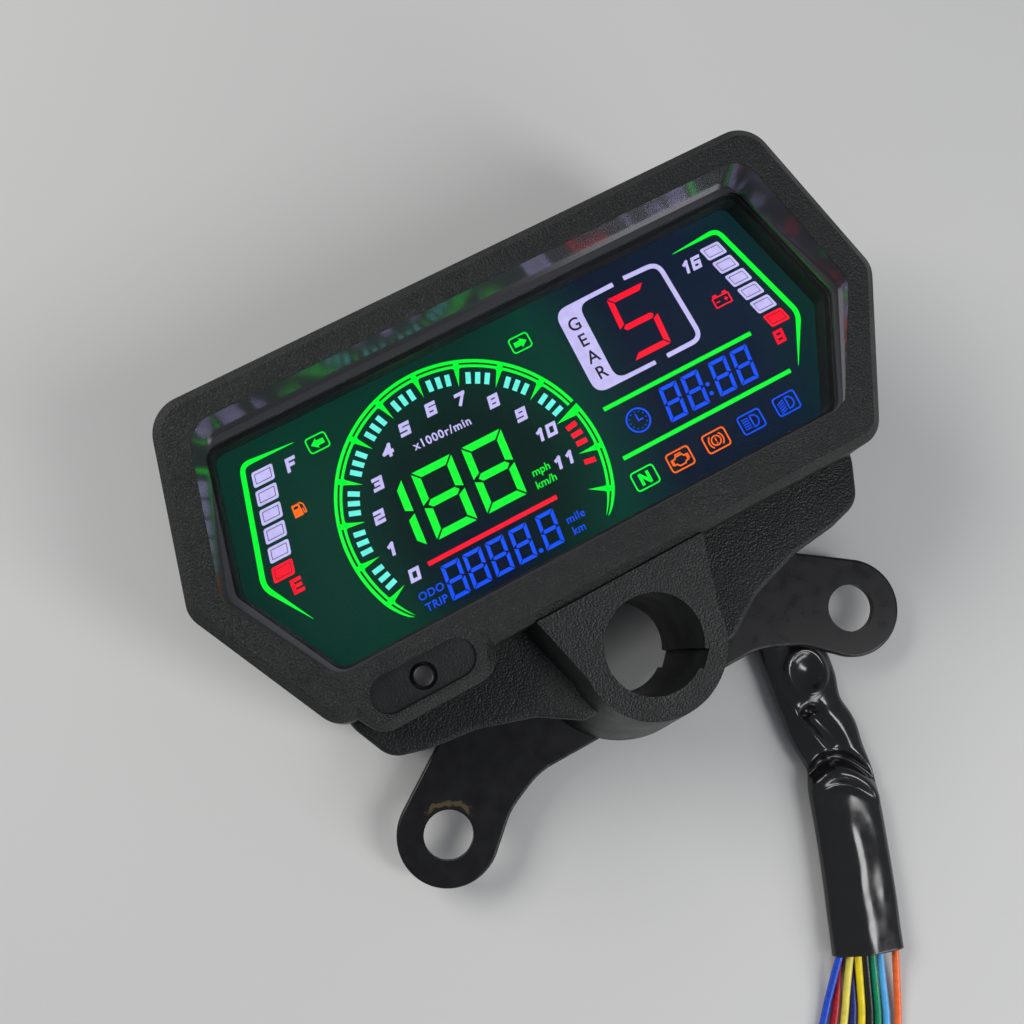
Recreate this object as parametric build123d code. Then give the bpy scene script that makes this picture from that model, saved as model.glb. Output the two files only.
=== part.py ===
"""Digital instrument cluster for a motorcycle, lying face up.

X runs across the cluster, Y from the ignition lock towards the top of the display, and Z out of the
display.  Every piece is drawn about the display: x = 0 is the line of symmetry, y = 0 is the centre of the
rev counter's arc and z = 0 is the front of the liquid crystal glass.  PLACE then moves each piece so that
the origin is under the middle of the rigid cluster, on the surface that it lies on.
"""
from build123d import *
import math
import os

# ---------------------------------------------------------------- driving dimensions (mm)
FLOOR_Z = -60.0          # back of the tub, which the cluster lies on
FACE_Z = 16.54           # sloping front face of the bezel, at y = 0
FACE_SLOPE = 0.1415      # its rise per millimetre of y
SPLIT_Z = -8.0           # where the bezel meets the rear housing
BEZEL_DRAFT = 4.0        # degrees
BEZEL_BEVEL = 2.4        # round the face's outer edge
BEZEL_CREASE_R = 0.4     # where the bevel meets the face
WALL = 2.5

RIM = [(90.8, 57.2), (105.8, 4.9), (85.0, -39.0)]         # right half of the outline at the split
RIM_RADII = [12.0, 9.0, 9.0]
LOBE = [(-89.5, -20.0), (-75.6, -46.0), (-40.6, -46.0), (-33.0, -30.0)]
LOBE_RADII = [4.0, 8.0, 8.0, 4.0]
WELL = [(80.4, 44.4), (93.6, 4.4), (77.6, -25.9)]         # foot of the gloss wall round the display
WELL_RADII = [6.0, 5.0, 5.0]
VIEW = [(81.6, 42.5), (91.6, 4.5), (76.4, -25.6)]         # what is seen of the display
VIEW_RADII = [4.0, 4.0, 4.5]
WELL_Z = 12.0
WELL_TOP_Z = 36.0        # above the bezel's highest point
WELL_LEAN = 13.0         # degrees, outwards as it rises
LIP = 1.1                # over the lens
LENS_T = 2.5
LENS_LAP = 2.8           # lens past the view, all round

PILL_CENTRE = (-58.6, -36.1)
PILL_SIZE = (30.0, 10.6)
PILL_DEPTH = 1.2
BUTTON_XY = (-58.6, -36.2)
BUTTON_D = 5.6
BUTTON_HOLE_D = 7.4
BUTTON_TOP_Z = 12.0
BUTTON_GUIDE_CLEARANCE = 0.08
BUTTON_TRAVEL = 0.5

LCD_PLATE_T = 1.2
PIN_ROWS_Y = (-25.1, 42.1)
DIFFUSER_T = 1.2
PCB_TOP_Z = -13.9
PCB_T = 1.6

LOCK_XY = (0.0, -58.4)
LOCK_R = 14.05           # ignition lock bore
SHIELD_DROP = 1.7        # shield under the bezel's face plane
SHIELD_R = 20.6
SHIELD_GAP = 0.15        # to the bezel
SHIELD_FLARE = 8.2       # its foot past its top edge
SHIELD_DRAFT = 9.1
KEYWAY_ANGLE = -43.0
KEYWAY = (1.1, 5.6)       # depth past the bore, and width
SHELF = [(84.0, -30.0), (81.5, -41.0), (76.5, -52.2), (66.0, -55.0), (52.0, -56.6), (36.0, -61.6),
         (24.5, -69.0)]
SHELF_BOTTOM_Z = -46.0
TUB = [(83.2, 47.2), (95.2, 4.9), (78.6, -29.0)]          # right half of the deep tub, under the rim
TUB_RADII = [9.0, 9.0, 9.0]
TUB_DRAFT = 6.0
RIM_T = 6.0

EAR_XY = (73.4, -83.4)
EAR_R = 15.8
EAR_HOLE_R = 7.6
BRACKET_T = 3.2
BRACKET_TOP_ANGLE = 55.2     # direction of the ear's upper tangent point, from its centre
BRACKET_LOW_ANGLE = 232.0
BRACKET_WAIST = (53.0, -86.0)
BRACKET_BEND_R = 22.0
BRACKET_LOCK_R = 17.0
BRACKET_TOP_Y = -49.6
BRACKET_LOW_Y = -80.4

BEZEL_SCREWS = [(-60, 51.0), (0, 51.0), (60, 51.0), (-95.9, -3), (95.9, -3), (-22, -33.6), (66, -33.6)]
PCB_SCREWS = [(-63, 18), (63, 18), (-63, -2), (63, -2)]
BRACKET_SCREWS = [(-37, -54.5), (37, -54.5), (-25, -50), (25, -50)]

SLEEVE_W = 23.0          # the sleeve lies pressed flat
SLEEVE_T = 9.6
SLEEVE_Z = FLOOR_Z + SLEEVE_T / 2
SLEEVE_XY = [(54.0, -47.2), (54.0, -65.0), (51.6, -86.0), (49.4, -106.0), (46.8, -127.0), (40.6, -145.5),
             (33.6, -163.5), (26.2, -181.3)]
GLAND_Y = -21.0          # inner face of the wall pad that holds the rubber gland
GLAND_WALL = 7.0
GLAND_Z = -52.6
GLAND_NECK = (23.0, 7.6)
LOOM = [(30.0, -14.0, -30.5), (30.0, -14.0, -46.0), (54.0, 6.0, -50.8), (54.0, -47.0, -54.2)]
LOOM_R = 3.3
WIRE_D = 2.3
CONNECTOR_SIZE = (27.0, 20.0, 8.4)
CONNECTOR_END = (-21.0, -249.0)      # middle of the face that the wires go into
CONNECTOR_ANGLE = -30.0
# each wire: from the sleeve's mouth, along the surface, to its own cavity in the connector
WIRES = {
    "blue": [(17.2, -177.6, -54.4), (10.6, -185.6, -57.4), (3.3, -194.0, -58.8), (-9.7, -208.7, -58.8),
             (-21.3, -226.5, -58.2), (-29.8, -243.9, -55.8)],
    "red": [(18.6, -178.2, -57.6), (12.9, -186.8, -58.6), (6.5, -195.9, -58.8), (-6.4, -210.9, -58.8),
            (-18.6, -228.2, -58.2), (-27.6, -245.2, -55.8)],
    "straw": [(20.5, -178.9, -54.4), (15.2, -188.0, -57.4), (9.3, -197.6, -58.8), (-3.5, -212.7, -58.8),
              (-16.1, -229.8, -58.2), (-25.4, -246.5, -55.8)],
    "navy": [(21.7, -179.4, -57.6), (17.2, -189.0, -58.6), (12.0, -199.1, -58.8), (-0.5, -214.7, -58.8),
             (-13.5, -231.4, -58.2), (-23.2, -247.7, -55.8)],
    "yellow": [(22.8, -179.9, -54.4), (19.2, -190.0, -57.4), (14.5, -200.6, -58.8), (2.3, -216.5, -58.8),
               (-11.0, -233.0, -58.2), (-21.0, -249.0, -55.8)],
    "black": [(25.0, -180.8, -54.4), (21.5, -191.1, -57.4), (16.9, -202.0, -58.8), (5.0, -218.3, -58.8),
              (-8.5, -234.6, -58.2), (-18.8, -250.3, -55.8)],
    "green": [(27.2, -181.7, -54.4), (23.6, -192.2, -57.4), (19.2, -203.3, -58.8), (7.7, -220.0, -58.8),
              (-5.9, -236.2, -58.2), (-16.6, -251.5, -55.8)],
    "sky": [(29.5, -182.7, -54.4), (25.9, -193.4, -57.4), (21.6, -204.8, -58.8), (10.4, -221.8, -58.8),
            (-3.4, -237.8, -58.2), (-14.4, -252.8, -55.8)],
    "orange": [(34.3, -184.7, -54.4), (30.0, -195.5, -57.4), (24.7, -206.6, -58.8), (13.4, -223.7, -58.8),
               (-0.7, -239.5, -58.2), (-12.2, -254.1, -55.8)],
}

EAR_LOW_Y = EAR_XY[1] - EAR_R
PLACE = Location((0, -(RIM[0][1] + EAR_LOW_Y) / 2, -FLOOR_Z))

PARTS = {}


# ---------------------------------------------------------------- helpers
def face_z(y):
    """Height of the bezel's sloping face at y."""
    return FACE_Z + FACE_SLOPE * y


def rounded(points, radii):
    """Closed outline with its own radius at every corner, its points given anticlockwise."""
    return make_face(FilletPolyline(*points, radius=radii, close=True).edges())


def symmetric(points, radii):
    """Outline given by its right half, top to bottom, and mirrored in x = 0."""
    left = [(-x, y) for x, y in points]
    return rounded(left + list(reversed(points)), radii + list(reversed(radii)))


def prism(outline, start, end, taper=0.0):
    """Outline drawn out along Z from one height to another; with a taper it narrows on the way."""
    solid = Part() + [extrude(Pos(0, 0, start) * face, amount=abs(end - start), dir=(0, 0, 1), taper=taper)
                      for face in outline.faces()]
    return solid if end > start else mirror(solid, about=Plane.XY.offset(start))


def under_slope(solid, drop=0.0):
    """What is left of a solid under the bezel's face plane, lowered by drop."""
    cut = Plane(origin=(0, 0, FACE_Z - drop), z_dir=(0, -FACE_SLOPE, 1))
    return split(solid, bisect_by=cut, keep=Keep.BOTTOM)


def rod(xy, low, high, radius):
    return Pos(xy[0], xy[1], low) * Cylinder(radius, high - low, align=(Align.CENTER, Align.CENTER, Align.MIN))


def block(centre, size, low):
    return Pos(centre[0], centre[1], low) * Box(*size, align=(Align.CENTER, Align.CENTER, Align.MIN))


def save(name, shape):
    PARTS[name] = PLACE * shape


def pan_screw(head_r, head_h, shank_r, length):
    """Pan-head screw pointing up, its head's bearing face at z = 0, with a cross recess."""
    head = Pos(0, 0, -head_h) * Cylinder(head_r, head_h, align=(Align.CENTER, Align.CENTER, Align.MIN))
    head = fillet(head.edges().sort_by(Axis.Z)[0], head_h * 0.55)
    cross = Box(head_r * 1.1, head_r * 0.28, head_h) + Box(head_r * 0.28, head_r * 1.1, head_h)
    shank = Cylinder(shank_r, length, align=(Align.CENTER, Align.CENTER, Align.MIN))
    return head - Pos(0, 0, -head_h) * cross + chamfer(shank.edges().sort_by(Axis.Z)[-1], shank_r * 0.4)


def group(solids):
    return Compound(children=list(solids))


def route(points, name):
    """Straight runs joined by tangent arcs, each as large as its two runs allow."""
    corners = [Vector(*p) for p in points]
    radii = []
    for before, here, after in zip(corners, corners[1:], corners[2:]):
        run_in, run_out = here - before, after - here
        turn = math.radians(run_in.get_angle(run_out))
        radii.append(0.45 * min(run_in.length, run_out.length) / math.tan(turn / 2))
    print(f"{name}: radii {[round(r) for r in radii]}")
    return FilletPolyline(*corners, radius=radii)


def tube(points, name, section):
    """A section swept along a route that starts level, and the route's length."""
    path = route(points, name)
    start = Plane(origin=path @ 0, x_dir=(path % 0).cross(Vector(0, 0, 1)), z_dir=path % 0)
    solid = sweep(start * section, path=path)
    filled = solid.volume / section.area / path.length
    print(f"{name}: length {path.length:.1f}, volume against section {filled:.4f}")
    return solid


# ---------------------------------------------------------------- outlines used by more than one piece
rim = symmetric(RIM, RIM_RADII)
lobe = rounded(LOBE, LOBE_RADII)
view = symmetric(VIEW, VIEW_RADII)
lens_bottom_z = WELL_Z - LIP - LENS_T
shelf = symmetric(SHELF, [3.0, 10.0, 8.0, 6.0, 10.0, 14.0, 6.0])


# ---------------------------------------------------------------- front bezel, lens and display
def bezel():
    body = prism(rim, SPLIT_Z, 34.0, BEZEL_DRAFT) + prism(lobe, SPLIT_Z, 34.0, BEZEL_DRAFT)
    body = under_slope(body)
    top = body.faces().sort_by(Axis((0, 0, 0), (0, -FACE_SLOPE, 1)))[-1]
    body = chamfer(top.outer_wire().edges(), BEZEL_BEVEL)
    top = body.faces().sort_by(Axis((0, 0, 0), (0, -FACE_SLOPE, 1)))[-1]
    body = fillet(top.outer_wire().edges(), BEZEL_CREASE_R)
    pocket_wall = offset(view, amount=LENS_LAP + 0.2 + WALL)
    inner = -WALL - 0.5
    hollow = prism(offset(rim, amount=inner) + offset(lobe, amount=inner), SPLIT_Z, 34.0, BEZEL_DRAFT)
    body -= under_slope(hollow, WALL + 0.6) - prism(pocket_wall, 4.0, 40.0)
    body -= prism(offset(view, amount=LENS_LAP + 0.2), SPLIT_Z - 1, WELL_Z - LIP)
    body -= prism(view, 0.0, 30.0)
    foot = symmetric(WELL, WELL_RADII)
    mouth = offset(foot, amount=(WELL_TOP_Z - WELL_Z) * math.tan(math.radians(WELL_LEAN)))
    body -= loft([Pos(0, 0, WELL_Z) * foot.face(), Pos(0, 0, WELL_TOP_Z) * mouth.face()], ruled=True)
    low_edge = offset(view, amount=LENS_LAP + 0.2)
    for xy in BEZEL_SCREWS:
        boss = rod(xy, SPLIT_Z, face_z(xy[1]) - 2.0, 3.4) - prism(low_edge, SPLIT_Z - 1, WELL_Z - LIP)
        body += boss
        body -= rod(xy, SPLIT_Z - 1, SPLIT_Z + 11.0, 1.25)
    pill = make_face(SlotOverall(*PILL_SIZE).wire())
    floor = Plane(origin=(*PILL_CENTRE, face_z(PILL_CENTRE[1]) - PILL_DEPTH), x_dir=(1, 0, 0),
                  z_dir=(0, -FACE_SLOPE, 1))
    guide_r = BUTTON_D / 2 + BUTTON_GUIDE_CLEARANCE
    guide = rod(BUTTON_XY, -1.0, face_z(BUTTON_XY[1]) - 2.0, guide_r + 1.8)
    body += guide - prism(low_edge, -9, WELL_Z - LIP)
    body -= extrude(floor * pill, amount=10)
    body -= rod(BUTTON_XY, SPLIT_Z - 1, 20.0, guide_r)
    body -= rod(BUTTON_XY, 7.6, 20.0, BUTTON_HOLE_D / 2)
    return body


def display_pieces():
    seat = offset(view, amount=LENS_LAP)
    save("lens", prism(seat, lens_bottom_z, lens_bottom_z + LENS_T))
    gasket_t = 1.0
    save("lens_gasket", prism(seat - offset(view, amount=0.6), lens_bottom_z - gasket_t, lens_bottom_z))
    frame_top = lens_bottom_z - gasket_t
    save("display_frame", prism(offset(view, amount=2.6) - offset(view, amount=-0.8), 0.0, frame_top))
    glass = offset(view, amount=0.2)
    rear_glass_z = -2 * LCD_PLATE_T
    save("lcd_front_glass", prism(glass & Pos(0, 8.45) * Rectangle(200, 66.3), -LCD_PLATE_T, 0.0))
    save("lcd_rear_glass", prism(glass, rear_glass_z, -LCD_PLATE_T))
    tray_top = rear_glass_z - DIFFUSER_T
    save("light_diffuser", prism(offset(view, amount=-1.4), tray_top, rear_glass_z))
    walls = offset(view, amount=-1.4) - offset(view, amount=-3.2)
    for x in (-45, -9, 9, 45):
        walls += Pos(x, 8.4) * Rectangle(1.4, 63)
    save("backlight_tray", prism(walls, PCB_TOP_Z, tray_top))
    pin_l = rear_glass_z - PCB_TOP_Z
    save("lcd_pins", group(block((x, y), (0.5, 0.4, pin_l), PCB_TOP_Z)
                           for x in range(-70, 71, 5) for y in PIN_ROWS_Y))


# ---------------------------------------------------------------- circuit board and what is on it
def circuit_board():
    outline = offset(view, amount=-1.2) + Pos(0, 8.7) * Rectangle(146, 68.6)
    outline += Pos(-58, -33) * Rectangle(26, 18)
    board = prism(outline, PCB_TOP_Z - PCB_T, PCB_TOP_Z)
    for xy in PCB_SCREWS:
        board -= rod(xy, PCB_TOP_Z - PCB_T, PCB_TOP_Z, 1.7)
    return board


def leds():
    return group(block((x, y), (3.5, 2.8, 0.8), PCB_TOP_Z) for x in range(-72, 73, 18) for y in (-12, 8, 28))


def chip(centre, size, sides):
    """Flat chip hung under the board.  sides lists (turn in degrees, leads, distance of that edge)."""
    under = PCB_TOP_Z - PCB_T
    body = block(centre, size, under - size[2])
    lead = Box(0.35, 1.0, 0.5, align=(Align.CENTER, Align.MIN, Align.MAX))
    for turn, count, edge in sides:
        for i in range(count):
            along = (i - (count - 1) / 2) * 0.8
            body += Pos(centre[0], centre[1], under) * Rot(0, 0, turn) * Pos(along, edge - 0.1, 0) * lead
    return body


def capacitor(xy):
    """Electrolytic can standing under the board on its moulded base."""
    under = PCB_TOP_Z - PCB_T
    can = fillet(rod(xy, under - 10.0, under - 1.2, 4.0).edges().sort_by(Axis.Z)[0], 0.8)
    return can + block(xy, (8.3, 8.3, 1.2), under - 1.2)


def board_pieces():
    under = PCB_TOP_Z - PCB_T
    save("circuit_board", circuit_board())
    save("backlight_leds", leds())
    square = [(turn, 14, 7.0) for turn in (0, 90, 180, 270)]
    save("microcontroller", chip((-8, 20), (14.0, 14.0, 1.4), square))
    two_rows = [(0, 12, 3.0), (180, 12, 3.0)]
    save("driver_chips", group(chip((x, 22), (11.0, 6.0, 1.6), two_rows) for x in (-36, 22)))
    save("capacitors", group(capacitor(xy) for xy in ((44, 2), (32, 2))))
    regulator = block((46, 18), (6.6, 6.2, 2.3), under - 2.3) + block((46, 22.6), (5.2, 4.0, 0.9), under - 0.9)
    for x in (43.7, 48.3):
        regulator += block((x, 13.4), (0.9, 3.4, 0.6), under - 0.6)
    save("voltage_regulator", regulator)
    can = make_face(SlotOverall(11.2, 4.7).wire())
    save("crystal", prism(Pos(-8, 6) * can, under - 3.5, under))
    save("resistors", group(block((x, y), (1.6, 0.8, 0.5), under - 0.5)
                            for x in range(-50, 31, 8) for y in (-4, 34)))


# ---------------------------------------------------------------- mode button
def button_pieces():
    body_h, plunger_h = 3.5, 1.6
    switch_top = PCB_TOP_Z + body_h
    body = block(BUTTON_XY, (6.2, 6.2, body_h), PCB_TOP_Z) - rod(BUTTON_XY, switch_top - 1.2, switch_top, 1.81)
    save("switch_body", body)
    plunger_top = switch_top + plunger_h
    save("switch_plunger", rod(BUTTON_XY, switch_top - BUTTON_TRAVEL - 0.1, plunger_top, 1.75))
    cap = rod(BUTTON_XY, -3.0, BUTTON_TOP_Z, BUTTON_D / 2)
    cap = fillet(cap.edges().sort_by(Axis.Z)[-1], 0.7)
    cap -= Pos(BUTTON_XY[0], BUTTON_XY[1], BUTTON_TOP_Z + 9.75) * Sphere(10.0)
    flange = rod(BUTTON_XY, -3.4, -1.3, 4.2)
    save("mode_button", cap + flange + rod(BUTTON_XY, plunger_top + 0.05, -3.0, 2.0))


# ---------------------------------------------------------------- rear housing
def shield_outline(grow=0.0):
    """U-shaped shield round the ignition lock: a half round, and sides that open towards the bezel."""
    x, y = LOCK_XY
    r = SHIELD_R + grow
    reach = 29.7 + grow
    arm = Polygon((x - r, y - 1), (x + r, y - 1), (reach, -28.0), (-reach, -28.0), align=None)
    return Pos(x, y) * Circle(r) + arm


def rear_housing():
    tub_top = SPLIT_Z - RIM_T
    flange = prism(rim + lobe, tub_top, SPLIT_Z)
    tub_face = symmetric(TUB, TUB_RADII)
    tub = prism(tub_face, tub_top, FLOOR_Z, TUB_DRAFT)
    tub = fillet(tub.faces().sort_by(Axis.Z)[0].outer_wire().edges(), 4.0)
    shelf_block = prism(shelf, SHELF_BOTTOM_Z, SPLIT_Z)
    shelf_block = fillet(shelf_block.faces().sort_by(Axis.Z)[-1].outer_wire().edges(), 1.5)
    high = prism(shield_outline(SHIELD_FLARE), SHELF_BOTTOM_Z, 26.0, SHIELD_DRAFT)
    shield = under_slope(high, SHIELD_DROP)
    shield -= prism(offset(rim, amount=SHIELD_GAP), SPLIT_Z, 40.0, BEZEL_DRAFT)
    body = flange + tub + shelf_block + shield

    hollow = prism(offset(rim, amount=-WALL), tub_top + WALL, SPLIT_Z + 1)
    hollow += prism(offset(tub_face, amount=-WALL), tub_top, FLOOR_Z + WALL, TUB_DRAFT)
    hollow += prism(offset(tub_face, amount=-WALL), tub_top, SPLIT_Z)
    hollow += prism(offset(lobe, amount=-WALL), tub_top + WALL, SPLIT_Z + 1)
    inner_shelf = offset(shelf, amount=-WALL) - Pos(*LOCK_XY) * Circle(LOCK_R + WALL)
    hollow += prism(inner_shelf, SHELF_BOTTOM_Z + WALL, SPLIT_Z - WALL)
    hollow += block((BUTTON_XY[0], -29.0), (28.0, 10.0, 12.0), SPLIT_Z - 12.0)
    body -= hollow
    lock = rod(LOCK_XY, SHELF_BOTTOM_Z, 40.0, LOCK_R)
    key = Pos(*LOCK_XY, SHELF_BOTTOM_Z) * Rot(0, 0, KEYWAY_ANGLE) * Pos(LOCK_R + KEYWAY[0], 0, 0) * Box(
        4.6, KEYWAY[1], 90.0, align=(Align.MAX, Align.CENTER, Align.MIN))
    body -= lock + key
    return body, tub_top


def housing_posts(body, tub_top):
    """Screw posts for the board, the bezel and the bracket, and the hole for the harness."""
    floor_top = FLOOR_Z + WALL
    for xy in PCB_SCREWS:
        body += rod(xy, floor_top - 0.5, PCB_TOP_Z - PCB_T, 3.5)
        body -= rod(xy, PCB_TOP_Z - PCB_T - 12, PCB_TOP_Z - PCB_T, 1.25)
    for xy in BEZEL_SCREWS:
        deep = xy[1] < -30
        body += rod(xy, SHELF_BOTTOM_Z if deep else tub_top, SPLIT_Z, 5.0 if deep else 3.3)
        body -= rod(xy, SHELF_BOTTOM_Z - 1, SPLIT_Z, 1.7)
        if deep:
            body -= rod(xy, SHELF_BOTTOM_Z - 1, tub_top, 3.6)
    pad_x = SLEEVE_XY[0][0]
    body += block((pad_x, GLAND_Y - GLAND_WALL / 2), (36.0, GLAND_WALL, 14.0), FLOOR_Z + 1.0)
    body -= extrude(lying_slot(pad_x, GLAND_Y + 3.0, GLAND_Z, *GLAND_NECK), amount=20.0)
    for xy in BRACKET_SCREWS:
        body += rod(xy, SHELF_BOTTOM_Z + WALL - 0.5, SHELF_BOTTOM_Z + 14, 4.5)
        body -= rod(xy, SHELF_BOTTOM_Z - 1, SHELF_BOTTOM_Z + 12, 2.1)
    return body


# ---------------------------------------------------------------- bracket and fasteners
def at_angle(centre, radius, degrees):
    turn = math.radians(degrees)
    return (centre[0] + radius * math.cos(turn), centre[1] + radius * math.sin(turn))


def bracket():
    """Pressed steel plate under the shelf, with a drooping ear each side."""
    high = at_angle(EAR_XY, EAR_R, BRACKET_TOP_ANGLE)
    low = at_angle(EAR_XY, EAR_R, BRACKET_LOW_ANGLE)
    half = [(52.0, BRACKET_TOP_Y), high, low, BRACKET_WAIST, (40.0, BRACKET_LOW_Y)]
    plate = make_face(Polyline(*half, *[(-x, y) for x, y in reversed(half)], close=True).edges())
    plate = fillet([v for v in plate.vertices() if abs(v.X) < 60], BRACKET_BEND_R)
    holes = Pos(*LOCK_XY) * Circle(BRACKET_LOCK_R)
    for side in (-1, 1):
        plate += Pos(side * EAR_XY[0], EAR_XY[1]) * Circle(EAR_R)
        holes += Pos(side * EAR_XY[0], EAR_XY[1]) * Circle(EAR_HOLE_R)
    for xy in BRACKET_SCREWS:
        holes += Pos(*xy) * Circle(2.7)
    solid = prism(plate, SHELF_BOTTOM_Z - BRACKET_T, SHELF_BOTTOM_Z)
    solid = fillet(solid.faces().sort_by(Axis.Z)[-1].outer_wire().edges(), 0.9)
    solid = fillet(solid.faces().sort_by(Axis.Z)[0].outer_wire().edges(), 0.6)
    return solid - prism(holes, SHELF_BOTTOM_Z - BRACKET_T - 1, SHELF_BOTTOM_Z + 1)


def fasteners():
    save("bracket", bracket())
    under = SHELF_BOTTOM_Z - BRACKET_T
    washer = Cylinder(5.0, 1.0) - Cylinder(2.7, 1.0)
    save("bracket_washers", group(Pos(*xy, under - 0.5) * washer for xy in BRACKET_SCREWS))
    bolt = pan_screw(4.2, 3.0, 2.0, 13.0)
    save("bracket_screws", group(Pos(*xy, under - 1.0) * bolt for xy in BRACKET_SCREWS))
    small = pan_screw(3.2, 2.2, 1.45, 12.0)
    save("housing_screws", group(Pos(*xy, SPLIT_Z - RIM_T) * small for xy in BEZEL_SCREWS))
    board_screw = Rot(180, 0, 0) * pan_screw(3.0, 2.0, 1.45, 10.0)
    save("board_screws", group(Pos(*xy, PCB_TOP_Z) * board_screw for xy in PCB_SCREWS))


# ---------------------------------------------------------------- harness
def lying_slot(x, y, z, width, height):
    """Slot-shaped section that faces along Y."""
    return Pos(x, y, z) * Rot(90, 0, 0) * SlotOverall(width, height)


def harness():
    """Loom inside the housing, its gland in the tub's wall, and the flattened sleeve outside."""
    x, sleeve_y = SLEEVE_XY[0]
    loom_path = FilletPolyline(*LOOM, radius=6.0)
    loom = sweep(Plane(origin=loom_path @ 0, z_dir=loom_path % 0) * Circle(LOOM_R), path=loom_path)
    save("inner_loom", loom)
    outer_y = GLAND_Y - GLAND_WALL
    gland = extrude(lying_slot(x, GLAND_Y, GLAND_Z, *GLAND_NECK), amount=GLAND_WALL)
    gland += extrude(lying_slot(x, GLAND_Y + 2.0, GLAND_Z, 27.0, 9.6), amount=2.0)
    gland += extrude(lying_slot(x, outer_y, GLAND_Z, 30.0, 10.4), amount=2.5)
    gland += loft([lying_slot(x, outer_y - 2.5, GLAND_Z, 27.0, 9.0).face(),
                   lying_slot(x, sleeve_y, SLEEVE_Z, 25.0, 9.4).face()])
    save("harness_gland", gland - loom)
    save("cable_tie", cable_tie(x, loom_path) - loom)
    header_low = PCB_TOP_Z - PCB_T - 7.0
    shell = block(LOOM[0][:2], (26.0, 9.0, 7.0), header_low) - block(LOOM[0][:2], (24.0, 7.0, 6.0), header_low)
    save("wire_header", shell)
    plug_h = header_low + 5.8 - LOOM[0][2]
    save("wire_plug", block(LOOM[0][:2], (23.6, 6.6, plug_h), LOOM[0][2]))

    section = Rectangle(SLEEVE_W, SLEEVE_T)
    section = fillet(section.vertices(), SLEEVE_T * 0.48)
    save("harness_sleeve", tube([(px, py, SLEEVE_Z) for px, py in SLEEVE_XY], "sleeve", section))
    for colour, points in WIRES.items():
        save(f"wire_{colour}", tube(points, f"wire {colour}", Circle(WIRE_D / 2)))


def cable_tie(x, path):
    """Nylon tie round the loom just inside the gland, with its square head."""
    y = GLAND_Y + 8.0
    z = GLAND_Z + 0.4
    band = Pos(x, y, z) * Rot(90, 0, 0) * Cylinder(LOOM_R + 1.3, 3.6)
    return band + Pos(x, y, z + LOOM_R + 1.6) * Box(5.0, 4.6, 4.2)


def connector():
    """Nine-way connector that the wires end in, its latch on top."""
    width, length, height = CONNECTOR_SIZE
    pitch = 2.54
    shell = Pos(0, -length / 2, 0) * Box(width, length, height)
    shell = fillet(shell.edges().filter_by(Axis.Y), 0.8)
    shell += Pos(0, -length * 0.6, height / 2 + 0.5) * Box(8.0, length * 0.7, 1.0)
    terminals = []
    for i in range(len(WIRES)):
        across = (i - (len(WIRES) - 1) / 2) * pitch
        shell -= Pos(across, -length, 0) * Box(1.9, 24.0, 3.2)
        terminals.append(Pos(across, -length + 7.0, 0) * Box(1.0, 8.0, 1.6))
    where = Location((*CONNECTOR_END, FLOOR_Z + height / 2), (0, 0, CONNECTOR_ANGLE))
    save("harness_connector", where * shell)
    save("connector_terminals", where * group(terminals))


def main():
    save("front_bezel", bezel())
    display_pieces()
    board_pieces()
    button_pieces()
    body, tub_top = rear_housing()
    edge = rim + lobe
    seal = prism(offset(edge, amount=-0.8) - offset(edge, amount=-1.8), SPLIT_Z - 0.8, SPLIT_Z)
    save("rear_housing", housing_posts(body, tub_top) - seal)
    save("perimeter_seal", seal)
    fasteners()
    harness()
    connector()
    os.makedirs("parts", exist_ok=True)
    for name, shape in PARTS.items():
        export_step(shape, f"parts/{name}.step")
        print(name, len(shape.solids()), round(shape.volume), shape.bounding_box())


main()
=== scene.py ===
"""Looks of a motorcycle instrument cluster: its lit display, moulded housing, sleeve and wires.

Sizes are in millimetres about the display, as the part is drawn: x = 0 is the line of symmetry, y = 0 is
the centre of the rev counter's arc and z = 0 is the front of the liquid crystal glass.
"""
import math
import bpy
import bmesh
from mathutils import Matrix, Vector, noise


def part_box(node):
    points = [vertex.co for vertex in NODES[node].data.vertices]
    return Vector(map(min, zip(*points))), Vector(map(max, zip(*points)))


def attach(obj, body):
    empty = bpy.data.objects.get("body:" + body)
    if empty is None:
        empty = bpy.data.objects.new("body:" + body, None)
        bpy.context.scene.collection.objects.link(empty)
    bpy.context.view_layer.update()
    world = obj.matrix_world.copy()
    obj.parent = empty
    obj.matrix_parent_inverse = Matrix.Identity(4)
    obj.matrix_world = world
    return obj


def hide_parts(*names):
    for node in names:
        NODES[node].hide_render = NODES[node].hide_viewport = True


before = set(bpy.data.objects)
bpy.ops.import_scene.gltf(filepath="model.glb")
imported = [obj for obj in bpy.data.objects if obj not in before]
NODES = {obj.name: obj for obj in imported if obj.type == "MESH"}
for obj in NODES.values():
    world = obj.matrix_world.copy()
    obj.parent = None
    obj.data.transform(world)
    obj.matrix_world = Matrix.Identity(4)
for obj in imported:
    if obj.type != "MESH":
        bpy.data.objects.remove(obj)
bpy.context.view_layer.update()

MM = 0.001
DIAL_Y = 21.0                                            # the dial's centre, from the frame's origin
GLASS_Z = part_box("lcd_front_glass")[1].z / MM            # front of the glass, from the frame's origin
TO_FRAME = Matrix.Translation((0, DIAL_Y * MM, GLASS_Z * MM)) @ Matrix.Scale(MM, 4)


def placed(x, y, z=0.0):
    """A point in the display's millimetres, as the frame has it."""
    return TO_FRAME @ Vector((x, y, z))


# ---- camera
CAMERA_AT = placed(-62.8, -30.4, 311.2)
CAMERA_RIGHT = Vector((0.8765, -0.4714, 0.0977))
CAMERA_BACK = Vector((-0.1476, -0.0699, 0.9866))
LENS_MM = 40.19
SENSOR_MM = 36.0


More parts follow.
